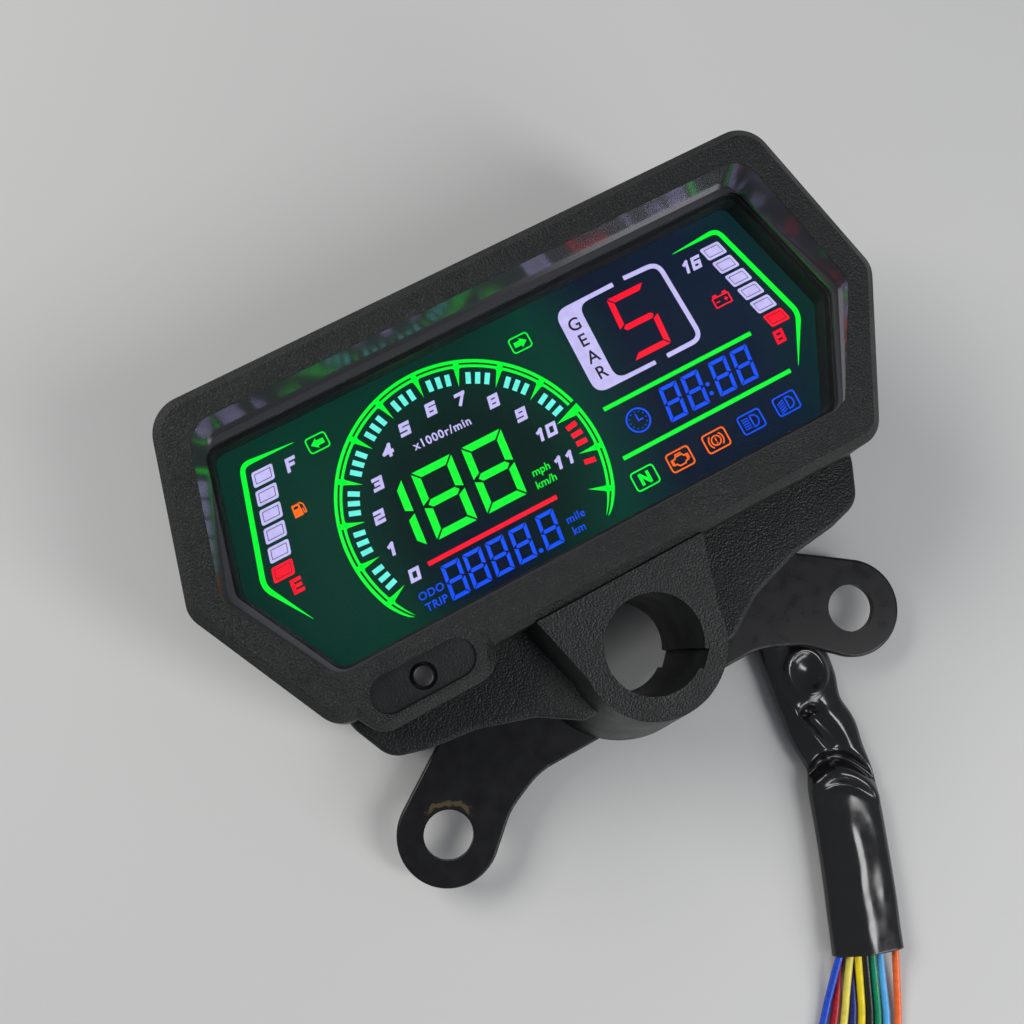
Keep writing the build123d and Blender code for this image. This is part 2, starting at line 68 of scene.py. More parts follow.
def make_camera():
    right = CAMERA_RIGHT.normalized()
    back = CAMERA_BACK.normalized()
    up = back.cross(right).normalized()
    right = up.cross(back)
    camera = bpy.data.objects.new("camera", bpy.data.cameras.new("camera"))
    camera.data.lens = LENS_MM
    camera.data.sensor_width = SENSOR_MM
    camera.data.clip_start = 0.01
    turn = Matrix((right, up, back)).transposed().to_4x4()
    camera.matrix_world = Matrix.Translation(CAMERA_AT) @ turn
    bpy.context.scene.collection.objects.link(camera)
    bpy.context.scene.camera = camera


make_camera()


# ---- materials
def linear(red, green, blue):
    """A colour as seen, 0 to 255, as the shader takes it."""
    shares = [c / 255 for c in (red, green, blue)]
    return tuple(c / 12.92 if c <= 0.04045 else ((c + 0.055) / 1.055) ** 2.4 for c in shares) + (1.0,)


class Finish:
    """A node material with a Principled shader, and short ways to add to it."""

    def __init__(self, name, colour, roughness, **sockets):
        self.material = bpy.data.materials.new(name)
        self.material.use_nodes = True
        self.tree = self.material.node_tree
        self.shader = self.tree.nodes["Principled BSDF"]
        self.set("Base Color", colour)
        self.set("Roughness", roughness)
        for socket, value in sockets.items():
            self.set(socket.replace("_", " "), value)
        self.place = self.add("ShaderNodeTexCoord").outputs["Object"]

    def set(self, socket, value):
        self.shader.inputs[socket].default_value = value

    def add(self, kind, **settings):
        node = self.tree.nodes.new(kind)
        for key, value in settings.items():
            setattr(node, key, value)
        return node

    def feed(self, socket, value):
        """Gives a socket a number, colour or another node's output."""
        if isinstance(value, bpy.types.NodeSocket):
            self.tree.links.new(value, socket)
        else:
            socket.default_value = value

    def maths(self, operation, *values):
        node = self.add("ShaderNodeMath", operation=operation)
        for socket, value in zip(node.inputs, values):
            self.feed(socket, value)
        return node.outputs[0]

    def noise(self, size, detail=2.0, stretch=None):
        """Cloudy noise whose features are about size millimetres across."""
        node = self.add("ShaderNodeTexNoise")
        node.inputs["Scale"].default_value = 1.0 / (size * MM)
        node.inputs["Detail"].default_value = detail
        source = self.place
        if stretch:
            mapping = self.add("ShaderNodeMapping")
            mapping.inputs["Scale"].default_value = stretch
            self.feed(mapping.inputs["Vector"], source)
            source = mapping.outputs[0]
        self.feed(node.inputs["Vector"], source)
        return node.outputs["Fac"]

    def grains(self, size):
        """Cells about size millimetres apart, dark at their middles."""
        node = self.add("ShaderNodeTexVoronoi", feature="SMOOTH_F1")
        node.inputs["Scale"].default_value = 1.0 / (size * MM)
        self.feed(node.inputs["Vector"], self.place)
        return node.outputs["Distance"]

    def ramp(self, value, *stops):
        """A colour ramp through (place, colour or number) stops."""
        node = self.add("ShaderNodeValToRGB")
        elements = node.color_ramp.elements
        elements[0].position = stops[0][0]
        elements[1].position = stops[-1][0]
        for position, _ in stops[1:-1]:
            elements.new(position)
        for element, (_, colour) in zip(elements, stops):
            element.color = colour if isinstance(colour, tuple) else (colour, colour, colour, 1.0)
        self.feed(node.inputs["Fac"], value)
        return node.outputs["Color"]

    def mix(self, share, first, second):
        node = self.add("ShaderNodeMix", data_type="RGBA")
        self.feed(node.inputs[0], share)
        self.feed(node.inputs[6], first)
        self.feed(node.inputs[7], second)
        return node.outputs[2]

    def drive(self, socket, output):
        """Links a node's output to one of the shader's sockets."""
        self.feed(self.shader.inputs[socket], output)

    def colour(self, output):
        self.drive("Base Color", output)

    def roughness(self, output):
        self.drive("Roughness", output)

    def vary_roughness(self, size, low, high):
        self.roughness(self.ramp(self.noise(size, 3.0), (0.3, low), (0.7, high)))

    def away(self, across, along, centre):
        """Distance in plan from a point given in the display's millimetres."""
        x = self.maths("SUBTRACT", across, centre[0] * MM)
        y = self.maths("SUBTRACT", along, centre[1] * MM)
        squares = self.maths("ADD", self.maths("MULTIPLY", x, x), self.maths("MULTIPLY", y, y))
        return self.maths("SQRT", squares)

    def bump(self, height, depth, strength=1.0):
        """Relief about depth millimetres deep; calls stack."""
        node = self.add("ShaderNodeBump")
        node.inputs["Strength"].default_value = strength
        node.inputs["Distance"].default_value = depth * MM
        self.feed(node.inputs["Height"], height)
        before = self.shader.inputs["Normal"]
        if before.is_linked:
            self.feed(node.inputs["Normal"], before.links[0].from_socket)
        self.feed(before, node.outputs["Normal"])

    def paint(self, *names):
        for name in names:
            slots = NODES[name].data.materials
            slots.clear()
            slots.append(self.material)


FACE_Z = 16.54              # the bezel's sloping face, at y = 0
FACE_SLOPE = 0.1415
WELL = [(0.0, 44.4), (80.4, 44.4), (93.6, 4.4), (77.6, -25.9), (0.0, -25.9)]
WELL_Z = 12.0
WELL_GROWTH = math.tan(math.radians(13.0))      # outward lean of the wall
WELL_MARGIN = 0.35          # how far into the wall the gloss is still counted
FACE_MARGIN = 0.2           # how far under the face it stops
PILL_CENTRE = (-58.6, -36.1)
PILL_R = 5.3
PILL_HALF_RUN = 9.7         # from the middle to the centre of each round end


def display_axes(finish):
    """The surface point's x, y and z about the display, in metres."""
    split = finish.add("ShaderNodeSeparateXYZ")
    finish.feed(split.inputs[0], finish.place)
    along = finish.maths("SUBTRACT", split.outputs["Y"], DIAL_Y * MM)
    height = finish.maths("SUBTRACT", split.outputs["Z"], GLASS_Z * MM)
    return split.outputs["X"], along, height


def inside_well(finish):
    """1 on the gloss wall and ledge round the display, 0 on the rest of the bezel.

    The wall is the four sides of half a hexagon, mirrored by taking |x|, and leans outwards as it rises.
    """
    across, along, height = display_axes(finish)
    across = finish.maths("ABSOLUTE", across)
    allowed = finish.maths("MULTIPLY_ADD", height, WELL_GROWTH, (WELL_MARGIN - WELL_Z * WELL_GROWTH) * MM)
    furthest = None
    for (x0, y0), (x1, y1) in zip(WELL, WELL[1:]):
        run = Vector((x1 - x0, y1 - y0)).normalized()
        out = (-run.y, run.x)
        reach = (out[0] * x0 + out[1] * y0) * MM
        side = finish.maths("MULTIPLY_ADD", across, out[0], -reach)
        side = finish.maths("MULTIPLY_ADD", along, out[1], side)
        furthest = side if furthest is None else finish.maths("MAXIMUM", furthest, side)
    face = finish.maths("MULTIPLY_ADD", along, FACE_SLOPE, (FACE_Z - FACE_MARGIN) * MM)
    return finish.maths("MULTIPLY", finish.maths("LESS_THAN", furthest, allowed),
                        finish.maths("LESS_THAN", height, face))


def inside_pill(finish):
    """1 within the recess round the button, 0 elsewhere."""
    across, along, _ = display_axes(finish)
    end = finish.maths("ABSOLUTE", finish.maths("SUBTRACT", across, PILL_CENTRE[0] * MM))
    end = finish.maths("MAXIMUM", finish.maths("SUBTRACT", end, PILL_HALF_RUN * MM), 0.0)
    side = finish.maths("SUBTRACT", along, PILL_CENTRE[1] * MM)
    square = finish.maths("ADD", finish.maths("MULTIPLY", end, end), finish.maths("MULTIPLY", side, side))
    return finish.maths("LESS_THAN", finish.maths("SQRT", square), (PILL_R - 0.1) * MM)


def moulded_case():
    """Black ABS with a spark-eroded grain whose sparkle is painted in as light glint specks, smooth round the
    button and polished in the well, where a lighter part-metallic colour paints in a brighter reflection.
    """
    finish = Finish("case_black", (0.016, 0.017, 0.018, 1), 0.5, Specular_IOR_Level=0.34)
    polish_and_painted_reflection = inside_well(finish)
    plain = finish.maths("MAXIMUM", polish_and_painted_reflection, finish.maths("MULTIPLY", inside_pill(finish), 0.85))
    grained = finish.maths("SUBTRACT", 1.0, plain)
    grain = finish.ramp(finish.grains(0.5), (0.15, 1.0), (0.75, 0.0))
    relief = finish.maths("MULTIPLY_ADD", finish.noise(0.2, 3.0), 0.7, grain)
    blotchy = finish.ramp(finish.noise(14.0, 5.0), (0.35, 0.32), (0.65, 0.44))
    finish.roughness(finish.mix(polish_and_painted_reflection, blotchy, (0.16, 0.16, 0.16, 1)))
    tone = finish.ramp(finish.noise(9.0, 4.0),
                       (0.3, (0.005, 0.006, 0.006, 1)), (0.7, (0.010, 0.011, 0.011, 1)))
    # painted glints: light specks in the colour stand in for the grain's sparkle
    painted_glint = finish.ramp(finish.noise(0.42, 2.0), (0.62, 0.0), (0.72, 1.0))
    painted_glint = finish.maths("MULTIPLY", finish.maths("MULTIPLY", painted_glint, grained), 0.8)
    tone = finish.mix(painted_glint, tone, (0.075, 0.08, 0.077, 1))
    # painted reflection: the well's gloss wall gets a lighter grey, part-metallic colour so it shines
    # brighter than black plastic; its low roughness is the real polish
    finish.colour(finish.mix(polish_and_painted_reflection, tone, (0.13, 0.13, 0.14, 1)))
    finish.drive("Metallic", finish.maths("MULTIPLY", polish_and_painted_reflection, 0.7))
    finish.bump(finish.maths("MULTIPLY", relief, grained), 0.2, 1.0)
    return finish


def smooth_case():
    """The same plastic with a flatter grain, as on the lock's shield and the back housing."""
    finish = Finish("case_black_smooth", (0.014, 0.015, 0.016, 1), 0.5, Specular_IOR_Level=0.32)
    finish.vary_roughness(11.0, 0.38, 0.5)
    tone = finish.ramp(finish.noise(12.0, 4.0),
                       (0.3, (0.005, 0.006, 0.006, 1)), (0.7, (0.009, 0.010, 0.010, 1)))
    # painted glints: light specks in the colour stand in for the grain's sparkle
    painted_glint = finish.maths("MULTIPLY", finish.ramp(finish.noise(0.42, 2.0), (0.63, 0.0), (0.73, 1.0)), 0.6)
    finish.colour(finish.mix(painted_glint, tone, (0.075, 0.075, 0.08, 1)))
    finish.bump(finish.ramp(finish.grains(0.5), (0.1, 1.0), (0.8, 0.0)), 0.14, 1.0)
    return finish


def plain_plastic(name, colour, roughness, grain=0.4):
    """Moulded plastic with a faint grain and slightly uneven tone and gloss."""
    finish = Finish(name, colour, roughness)
    dark = tuple(c * 0.86 for c in colour[:3]) + (1.0,)
    finish.colour(finish.ramp(finish.noise(3.0, 3.0), (0.3, dark), (0.7, colour)))
    finish.vary_roughness(2.4, roughness * 0.85, min(1.0, roughness * 1.2))
    finish.bump(finish.noise(grain, 3.0), 0.02, 0.5)
    return finish


def rubber():
    finish = Finish("seal_rubber", (0.012, 0.012, 0.013, 1), 0.7)
    finish.vary_roughness(1.5, 0.6, 0.82)
    finish.bump(finish.noise(0.3, 3.0), 0.03, 0.6)
    return finish


BLOOMED_IOR = 1.12          # low, as an anti-glare coat on both faces makes the acrylic behave


def clear_lens():
    """Polished acrylic, with faint wiping marks in its gloss."""
    finish = Finish("lens_clear", (0.97, 0.985, 0.98, 1), 0.02, IOR=BLOOMED_IOR, Transmission_Weight=1.0)
    finish.roughness(finish.ramp(finish.noise(6.0, 6.0, stretch=(1.0, 3.5, 1.0)), (0.45, 0.012), (0.8, 0.05)))
    return finish


EAR_HOLE = (-73.4, -83.4)
BROWN_ARC_R = 9.6               # the brown arc runs round the left ear's hole
BROWN_ARC_W = 1.7
BROWN_ARC_TOP = (-69.0, -75.0)
BROWN_ARC_REACH = 9.0           # how far from its top the arc fades out
ENAMEL = (0.006, 0.006, 0.007, 1)
ARC_BROWN = (0.105, 0.078, 0.036, 1)


def painted_bracket():
    """Black enamel on pressed steel: slight orange peel, dust, and a faint patchy brown arc over one ear's
    hole.
    """
    finish = Finish("bracket_black", ENAMEL, 0.3, Specular_IOR_Level=0.3)
    finish.vary_roughness(5.0, 0.24, 0.4)
    across, along, _ = display_axes(finish)
    from_hole = finish.away(across, along, EAR_HOLE)
    ring = finish.maths("ABSOLUTE", finish.maths("SUBTRACT", from_hole, BROWN_ARC_R * MM))
    near = finish.maths("SUBTRACT", 1.0, finish.maths("DIVIDE", ring, BROWN_ARC_W * MM))
    from_top = finish.away(across, along, BROWN_ARC_TOP)
    above = finish.maths("SUBTRACT", 1.0, finish.maths("DIVIDE", from_top, BROWN_ARC_REACH * MM))
    near = finish.maths("MINIMUM", near, finish.maths("MULTIPLY", above, 2.0))
    patchy = finish.maths("MULTIPLY_ADD", finish.noise(1.4, 6.0), 2.2, -1.15)
    blotchy = finish.maths("ADD", near, patchy)
    blotchy = finish.ramp(blotchy, (0.35, 0.0), (0.75, 0.75))
    # a faint brown is mixed into the enamel along an arc over the top of the left ear's hole
    finish.colour(finish.mix(blotchy, ENAMEL, ARC_BROWN))
    finish.bump(finish.noise(1.3, 2.0), 0.01, 0.2)
    return finish


def metal(name, colour, roughness):
    finish = Finish(name, colour, roughness, Metallic=1.0)
    finish.vary_roughness(1.2, roughness * 0.8, roughness * 1.3)
    finish.bump(finish.noise(0.25, 2.0), 0.01, 0.4)
    return finish


def circuit_green():
    """Solder mask over tracks that show as lighter lines."""
    finish = Finish("board_green", (0.004, 0.07, 0.02, 1), 0.35, Coat_Weight=0.4)
    tracks = finish.add("ShaderNodeTexBrick")
    tracks.inputs["Scale"].default_value = 1.0 / (22.0 * MM)
    tracks.inputs["Mortar Size"].default_value = 0.012
    tracks.inputs["Color1"].default_value = (0.004, 0.065, 0.02, 1)
    tracks.inputs["Color2"].default_value = (0.005, 0.08, 0.024, 1)
    tracks.inputs["Mortar"].default_value = (0.03, 0.19, 0.06, 1)
    finish.feed(tracks.inputs["Vector"], finish.place)
    finish.colour(tracks.outputs["Color"])
    finish.bump(tracks.outputs["Fac"], 0.03, 0.5)
    return finish


DIAL = (-23.0, 0.0)
ODOMETER = (-28.0, -19.0)
DISPLAY_W = 190.0           # the tint's stops are shares of it
PATCH_R = 40.0              # likewise for the patches round the dial and the odometer


def display_glass():
    """Dark glass over the backlight: green round the dial, black in it, navy under it and to its right."""
    finish = Finish("lcd_glass", (0.003, 0.004, 0.005, 1), 0.2, Specular_IOR_Level=0.1)
    across, along, _ = display_axes(finish)
    spread = finish.maths("MULTIPLY_ADD", across, 1 / (DISPLAY_W * MM), 0.5)
    wave = finish.maths("MULTIPLY_ADD", finish.noise(60.0, 1.0), 0.12, -0.06)
    tint = finish.ramp(finish.maths("ADD", spread, wave), (0.02, (0.0010, 0.026, 0.017, 1)),
                       (0.18, (0.0008, 0.034, 0.020, 1)), (0.45, (0.0006, 0.026, 0.017, 1)),
                       (0.57, (0.0008, 0.038, 0.024, 1)), (0.68, (0.0040, 0.0085, 0.024, 1)),
                       (0.84, (0.0030, 0.0100, 0.028, 1)), (0.96, (0.0015, 0.027, 0.020, 1)))
    from_dial = finish.maths("DIVIDE", finish.away(across, along, DIAL), PATCH_R * MM)
    tint = finish.mix(finish.ramp(from_dial, (0.55, 0.85), (0.98, 0.0)), tint, (0.0010, 0.0090, 0.0070, 1))
    from_odometer = finish.maths("DIVIDE", finish.away(across, along, ODOMETER), PATCH_R * MM)
    tint = finish.mix(finish.ramp(from_odometer, (0.1, 0.9), (0.6, 0.0)), tint, (0.0012, 0.0045, 0.024, 1))
    finish.drive("Emission Color", tint)
    finish.set("Emission Strength", 1.0)
    return finish


def glowing(name, colour, strength):
    """A lit segment: even colour, with the faint mottling of the diffuser behind it."""
    finish = Finish(name, (0.005, 0.005, 0.005, 1), 0.5, Specular_IOR_Level=0.1)
    dim = tuple(c * 0.86 for c in colour[:3]) + (1.0,)
    finish.drive("Emission Color", finish.ramp(finish.noise(2.2, 2.0), (0.3, dim), (0.7, colour)))
    finish.set("Emission Strength", strength)
    return finish


def sleeve_vinyl():
    """Soft glossy PVC sleeving: fine lengthwise drawing lines, dull patches and dust."""
    finish = Finish("sleeve_pvc", (0.010, 0.010, 0.011, 1), 0.2, Specular_IOR_Level=0.6)
    finish.roughness(finish.ramp(finish.noise(5.0, 5.0), (0.35, 0.12), (0.75, 0.24)))
    finish.bump(finish.noise(3.4, 3.0), 0.05, 0.2)
    finish.bump(finish.noise(0.5, 2.0), 0.01, 0.3)
    return finish


def wire_vinyl(name, colour):
    finish = Finish(name, colour, 0.3)
    dark = tuple(c * 0.78 for c in colour[:3]) + (1.0,)
    finish.colour(finish.ramp(finish.noise(2.5, 3.0), (0.3, dark), (0.65, colour)))
    finish.vary_roughness(1.2, 0.22, 0.42)
    finish.bump(finish.noise(0.7, 2.0), 0.02, 0.3)
    return finish


def dress_nodes():
    moulded_case().paint("front_bezel")
    smooth_case().paint("rear_housing")
    clear_lens().paint("lens")
    NODES["lens"].visible_shadow = False
    rubber().paint("lens_gasket", "perimeter_seal", "harness_gland")
    plain_plastic("frame_black", (0.008, 0.008, 0.009, 1), 0.35).paint("display_frame")
    display_glass().paint("lcd_front_glass", "lcd_rear_glass")
    plain_plastic("diffuser_white", (0.75, 0.76, 0.74, 1), 0.5).paint("light_diffuser")
    plain_plastic("tray_white", (0.70, 0.70, 0.67, 1), 0.45).paint("backlight_tray")
    metal("pin_tin", (0.62, 0.61, 0.58, 1), 0.35).paint("lcd_pins")
    circuit_green().paint("circuit_board")
    plain_plastic("led_body", (0.72, 0.68, 0.42, 1), 0.4).paint("backlight_leds")
    plain_plastic("chip_black", (0.02, 0.02, 0.021, 1), 0.6, grain=0.15).paint(
        "microcontroller", "driver_chips", "voltage_regulator", "resistors", "switch_body")
    metal("can_aluminium", (0.66, 0.67, 0.68, 1), 0.3).paint("capacitors", "crystal")
    plain_plastic("button_black", (0.011, 0.011, 0.012, 1), 0.42, grain=0.3).paint(
        "mode_button", "switch_plunger")
    painted_bracket().paint("bracket")
    metal("screw_steel", (0.42, 0.41, 0.38, 1), 0.34).paint(
        "bracket_washers", "bracket_screws", "housing_screws", "board_screws")
    plain_plastic("loom_black", (0.014, 0.014, 0.015, 1), 0.5).paint("inner_loom")
    plain_plastic("tie_nylon", (0.55, 0.53, 0.46, 1), 0.4).paint("cable_tie")
    plain_plastic("nylon_natural", (0.62, 0.60, 0.53, 1), 0.42).paint(
        "wire_header", "wire_plug", "harness_connector")
    metal("terminal_brass", (0.62, 0.44, 0.17, 1), 0.3).paint("connector_terminals")


# ---- harness
SLEEVE_XY = [(54.0, -47.2), (54.0, -65.0), (51.6, -86.0), (49.4, -106.0), (46.8, -127.0), (40.6, -145.5),
             (33.6, -163.5), (26.2, -181.3)]
SLEEVE_Z = -55.2
SLEEVE_W = 23.0
SLEEVE_T = 9.6
SLEEVE_WALL = 0.6
SLEEVE_RINGS, SLEEVE_SIDES = 230, 72
FLOOR_CLEARANCE = 0.05
WIRE_D = 2.3
WIRES = {
    "blue": [(17.2, -177.6, -54.4), (10.6, -185.6, -57.4), (3.3, -194.0, -58.8), (-9.7, -208.7, -58.8),
             (-21.3, -226.5, -58.2), (-29.8, -243.9, -55.8)],
    "red": [(18.6, -178.2, -57.6), (12.9, -186.8, -58.6), (6.5, -195.9, -58.8), (-6.4, -210.9, -58.8),
            (-18.6, -228.2, -58.2), (-27.6, -245.2, -55.8)],
    "straw": [(20.5, -178.9, -54.4), (15.2, -188.0, -57.4), (9.3, -197.6, -58.8), (-3.5, -212.7, -58.8),
              (-16.1, -229.8, -58.2), (-25.4, -246.5, -55.8)],
    "navy": [(21.7, -179.4, -57.6), (17.2, -189.0, -58.6), (12.0, -199.1, -58.8), (-0.5, -214.7, -58.8),
             (-13.5, -231.4, -58.2), (-23.2, -247.7, -55.8)],
    "yellow": [(22.8, -179.9, -54.4), (19.2, -190.0, -57.4), (14.5, -200.6, -58.8), (2.3, -216.5, -58.8),
               (-11.0, -233.0, -58.2), (-21.0, -249.0, -55.8)],
    "black": [(25.0, -180.8, -54.4), (21.5, -191.1, -57.4), (16.9, -202.0, -58.8), (5.0, -218.3, -58.8),
              (-8.5, -234.6, -58.2), (-18.8, -250.3, -55.8)],
    "green": [(27.2, -181.7, -54.4), (23.6, -192.2, -57.4), (19.2, -203.3, -58.8), (7.7, -220.0, -58.8),
              (-5.9, -236.2, -58.2), (-16.6, -251.5, -55.8)],
    "sky": [(29.5, -182.7, -54.4), (25.9, -193.4, -57.4), (21.6, -204.8, -58.8), (10.4, -221.8, -58.8),
            (-3.4, -237.8, -58.2), (-14.4, -252.8, -55.8)],
    "orange": [(34.3, -184.7, -54.4), (30.0, -195.5, -57.4), (24.7, -206.6, -58.8), (13.4, -223.7, -58.8),
               (-0.7, -239.5, -58.2), (-12.2, -254.1, -55.8)],
}
WIRE_COLOURS = {"blue": linear(28, 78, 205), "red": linear(170, 14, 34), "straw": linear(240, 226, 92),
                "navy": linear(22, 34, 120), "yellow": linear(246, 222, 24), "black": linear(24, 26, 26),
                "green": linear(0, 140, 96), "sky": linear(88, 178, 240), "orange": linear(255, 112, 44)}


def spline_object(name, points):
    """A NURBS line with those points, in the display's millimetres, as its control points."""
    curve = bpy.data.curves.new(name, "CURVE")
    curve.dimensions = "3D"
    curve.resolution_u = 16
    spline = curve.splines.new("NURBS")
    spline.points.add(len(points) - 1)
    for point, xyz in zip(spline.points, points):
        point.co = (*placed(*xyz), 1.0)
    spline.order_u = 3
    spline.use_endpoint_u = True
    line = bpy.data.objects.new(name, curve)
    bpy.context.scene.collection.objects.link(line)
    return line


def read_line(points):
    """Points along the route's own smooth line, in the frame's metres."""
    line = spline_object("route", points)
    mesh = bpy.data.meshes.new_from_object(line)
    along = [v.co.copy() for v in mesh.vertices]
    curve = line.data
    bpy.data.objects.remove(line)
    bpy.data.curves.remove(curve)
    bpy.data.meshes.remove(mesh)
    return along


def bell(value, centre, width):
    return math.exp(-((value - centre) / width) ** 2)


def step_up(value, start, end):
    share = min(1.0, max(0.0, (value - start) / (end - start)))
    return share * share * (3 - 2 * share)


# places on the sleeve: along is a share of its length, side a share of its half width
FOLD = 0.552                        # along, where the deep fold lies at its apex
FOLD_APEX, FOLD_CURVE = 0.3, 0.045  # side of the apex, and how fast the fold bends away from it
FIRST_CREASE = 0.432
LOOP_FOLD = (0.345, -0.1)           # middle of a round fold, along and side
LOOP_SIZE = (0.05, 0.55)
RIDGE_START = (0.385, 0.75)         # a ridge that runs askew, along and side
RIDGE_DRIFT = 3.1                   # how much its side falls along it
FLAT_FROM, FLAT_BY = 0.62, 0.72     # along, where the creases give way to one low ridge


def crumple(along, side):
    """How far the top skin stands above or below a smooth sleeve, in millimetres."""
    fold = along - FOLD - FOLD_CURVE * (side - FOLD_APEX) ** 2
    ridge = RIDGE_START[1] - RIDGE_DRIFT * (along - RIDGE_START[0])
    loop = math.hypot((along - LOOP_FOLD[0]) / LOOP_SIZE[0], (side - LOOP_FOLD[1]) / LOOP_SIZE[1])
    # each row is a height, then the bells it is the product of, as (value, centre, width)
    reliefs = [(-3.8, (fold, 0.0, 0.016)),
               (0.9, (fold, 0.035, 0.016)),
               (-1.3, (fold, 0.062, 0.010), (side, 0.0, 0.6)),
               (1.6, (side, ridge, 0.12), (along, 0.47, 0.08)),
               (-2.2, (side, ridge - 0.45, 0.25), (along, 0.48, 0.07)),
               (-2.3, (along, FIRST_CREASE, 0.011), (side, 0.2, 0.3)),
               (1.0, (along, FIRST_CREASE - 0.027, 0.02), (side, 0.2, 0.35)),
               (1.2, (loop, 1.0, 0.22)),
               (-1.4, (loop, 0.0, 0.6)),
               (0.9 * step_up(along, FLAT_FROM, FLAT_BY), (side, 0.22 - 0.18 * along, 0.3))]
    return sum(height * math.prod(bell(*spread) for spread in bells) for height, *bells in reliefs)


SLEEVE_INSET = (0.3, 0.25)          # of the skin inside the sleeve's full width and thickness
START_W, GAIN_W = 0.97, 0.08        # its width at the start, as a share, and what it gains by the end
SECTION_POWERS = (0.82, 0.9)        # of cosine and sine: below 1 squares the oval
LEAST_GAP = 1.6                     # of the top skin above the bottom one, in the deepest fold


def sleeve_ring(along, turn):
    """Across and up, in millimetres, of the sleeve's skin at a share of its length and a turn round it."""
    c, s = math.cos(turn), math.sin(turn)
    half_w = (SLEEVE_W / 2 - SLEEVE_INSET[0]) * (START_W + GAIN_W * along)
    half_w *= 1.0 - 0.10 * bell(along, FOLD + 0.01, 0.04) - 0.07 * bell(along, FIRST_CREASE, 0.03)
    half_t = SLEEVE_T / 2 - SLEEVE_INSET[1]
    across = half_w * math.copysign(abs(c) ** SECTION_POWERS[0], c)
    up = half_t * math.copysign(abs(s) ** SECTION_POWERS[1], s)
    if s > 0:
        up = max(up + s * crumple(along, across / half_w), LEAST_GAP - half_t)
    across += 1.1 * bell(along, FIRST_CREASE, 0.05) - 0.5 * bell(along, FOLD + 0.02, 0.03)
    return across, up


def ripple(across, along, up):
    """Faint unevenness of the skin, in millimetres."""
    return noise.noise(Vector((across * 0.16, along * 14.0, up * 0.2))) * 0.28


def make_sleeve():
    """The flattened, creased sleeve as a thin-walled tube, cut off square at its far end."""
    path = read_line([(x, y, SLEEVE_Z) for x, y in SLEEVE_XY])
    lengths = [0.0]
    for before, here in zip(path, path[1:]):
        lengths.append(lengths[-1] + (here - before).length)
    build = bmesh.new()
    outer = []
    segment = 0
    for i in range(SLEEVE_RINGS):
        along = i / (SLEEVE_RINGS - 1)
        distance = lengths[-1] * along
        while segment < len(path) - 2 and lengths[segment + 1] < distance:
            segment += 1
        here = path[segment].lerp(path[segment + 1],
                                  (distance - lengths[segment]) / (lengths[segment + 1] - lengths[segment]))
        forward = (path[min(segment + 2, len(path) - 1)] - path[max(segment - 1, 0)]).normalized()
        across_dir = forward.cross(Vector((0, 0, 1))).normalized()
        ring = []
        for j in range(SLEEVE_SIDES):
            across, up = sleeve_ring(along, 2 * math.pi * j / SLEEVE_SIDES)
            up += ripple(across, along, up)
            point = here + across_dir * (across * MM) + Vector((0, 0, up * MM))
            point.z = max(point.z, FLOOR_CLEARANCE * MM)
            ring.append(build.verts.new(point))
        outer.append(ring)
    for before, here in zip(outer, outer[1:]):
        for j in range(SLEEVE_SIDES):
            k = (j + 1) % SLEEVE_SIDES
            build.faces.new((before[j], before[k], here[k], here[j]))
    mesh = bpy.data.meshes.new("sleeve_skin")
    bmesh.ops.recalc_face_normals(build, faces=build.faces)
    build.to_mesh(mesh)
    build.free()
    sleeve = bpy.data.objects.new("sleeve_skin", mesh)
    bpy.context.scene.collection.objects.link(sleeve)
    wall = sleeve.modifiers.new("wall", "SOLIDIFY")
    wall.thickness = SLEEVE_WALL * MM
    wall.offset = -1.0
    mesh.shade_smooth()
    mesh.materials.append(sleeve_vinyl().material)
    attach(sleeve, "cluster")
    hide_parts("harness_sleeve")


def make_wires():
    for colour, points in WIRES.items():
        wire = spline_object(f"wire_{colour}_insulation", points)
        wire.data.bevel_depth = WIRE_D / 2 * MM
        wire.data.bevel_resolution = 5
        wire.data.use_fill_caps = True
        wire.data.materials.append(wire_vinyl(f"wire_{colour}", WIRE_COLOURS[colour]).material)
        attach(wire, "cluster")
        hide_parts(f"wire_{colour}")


make_sleeve()
make_wires()
dress_nodes()


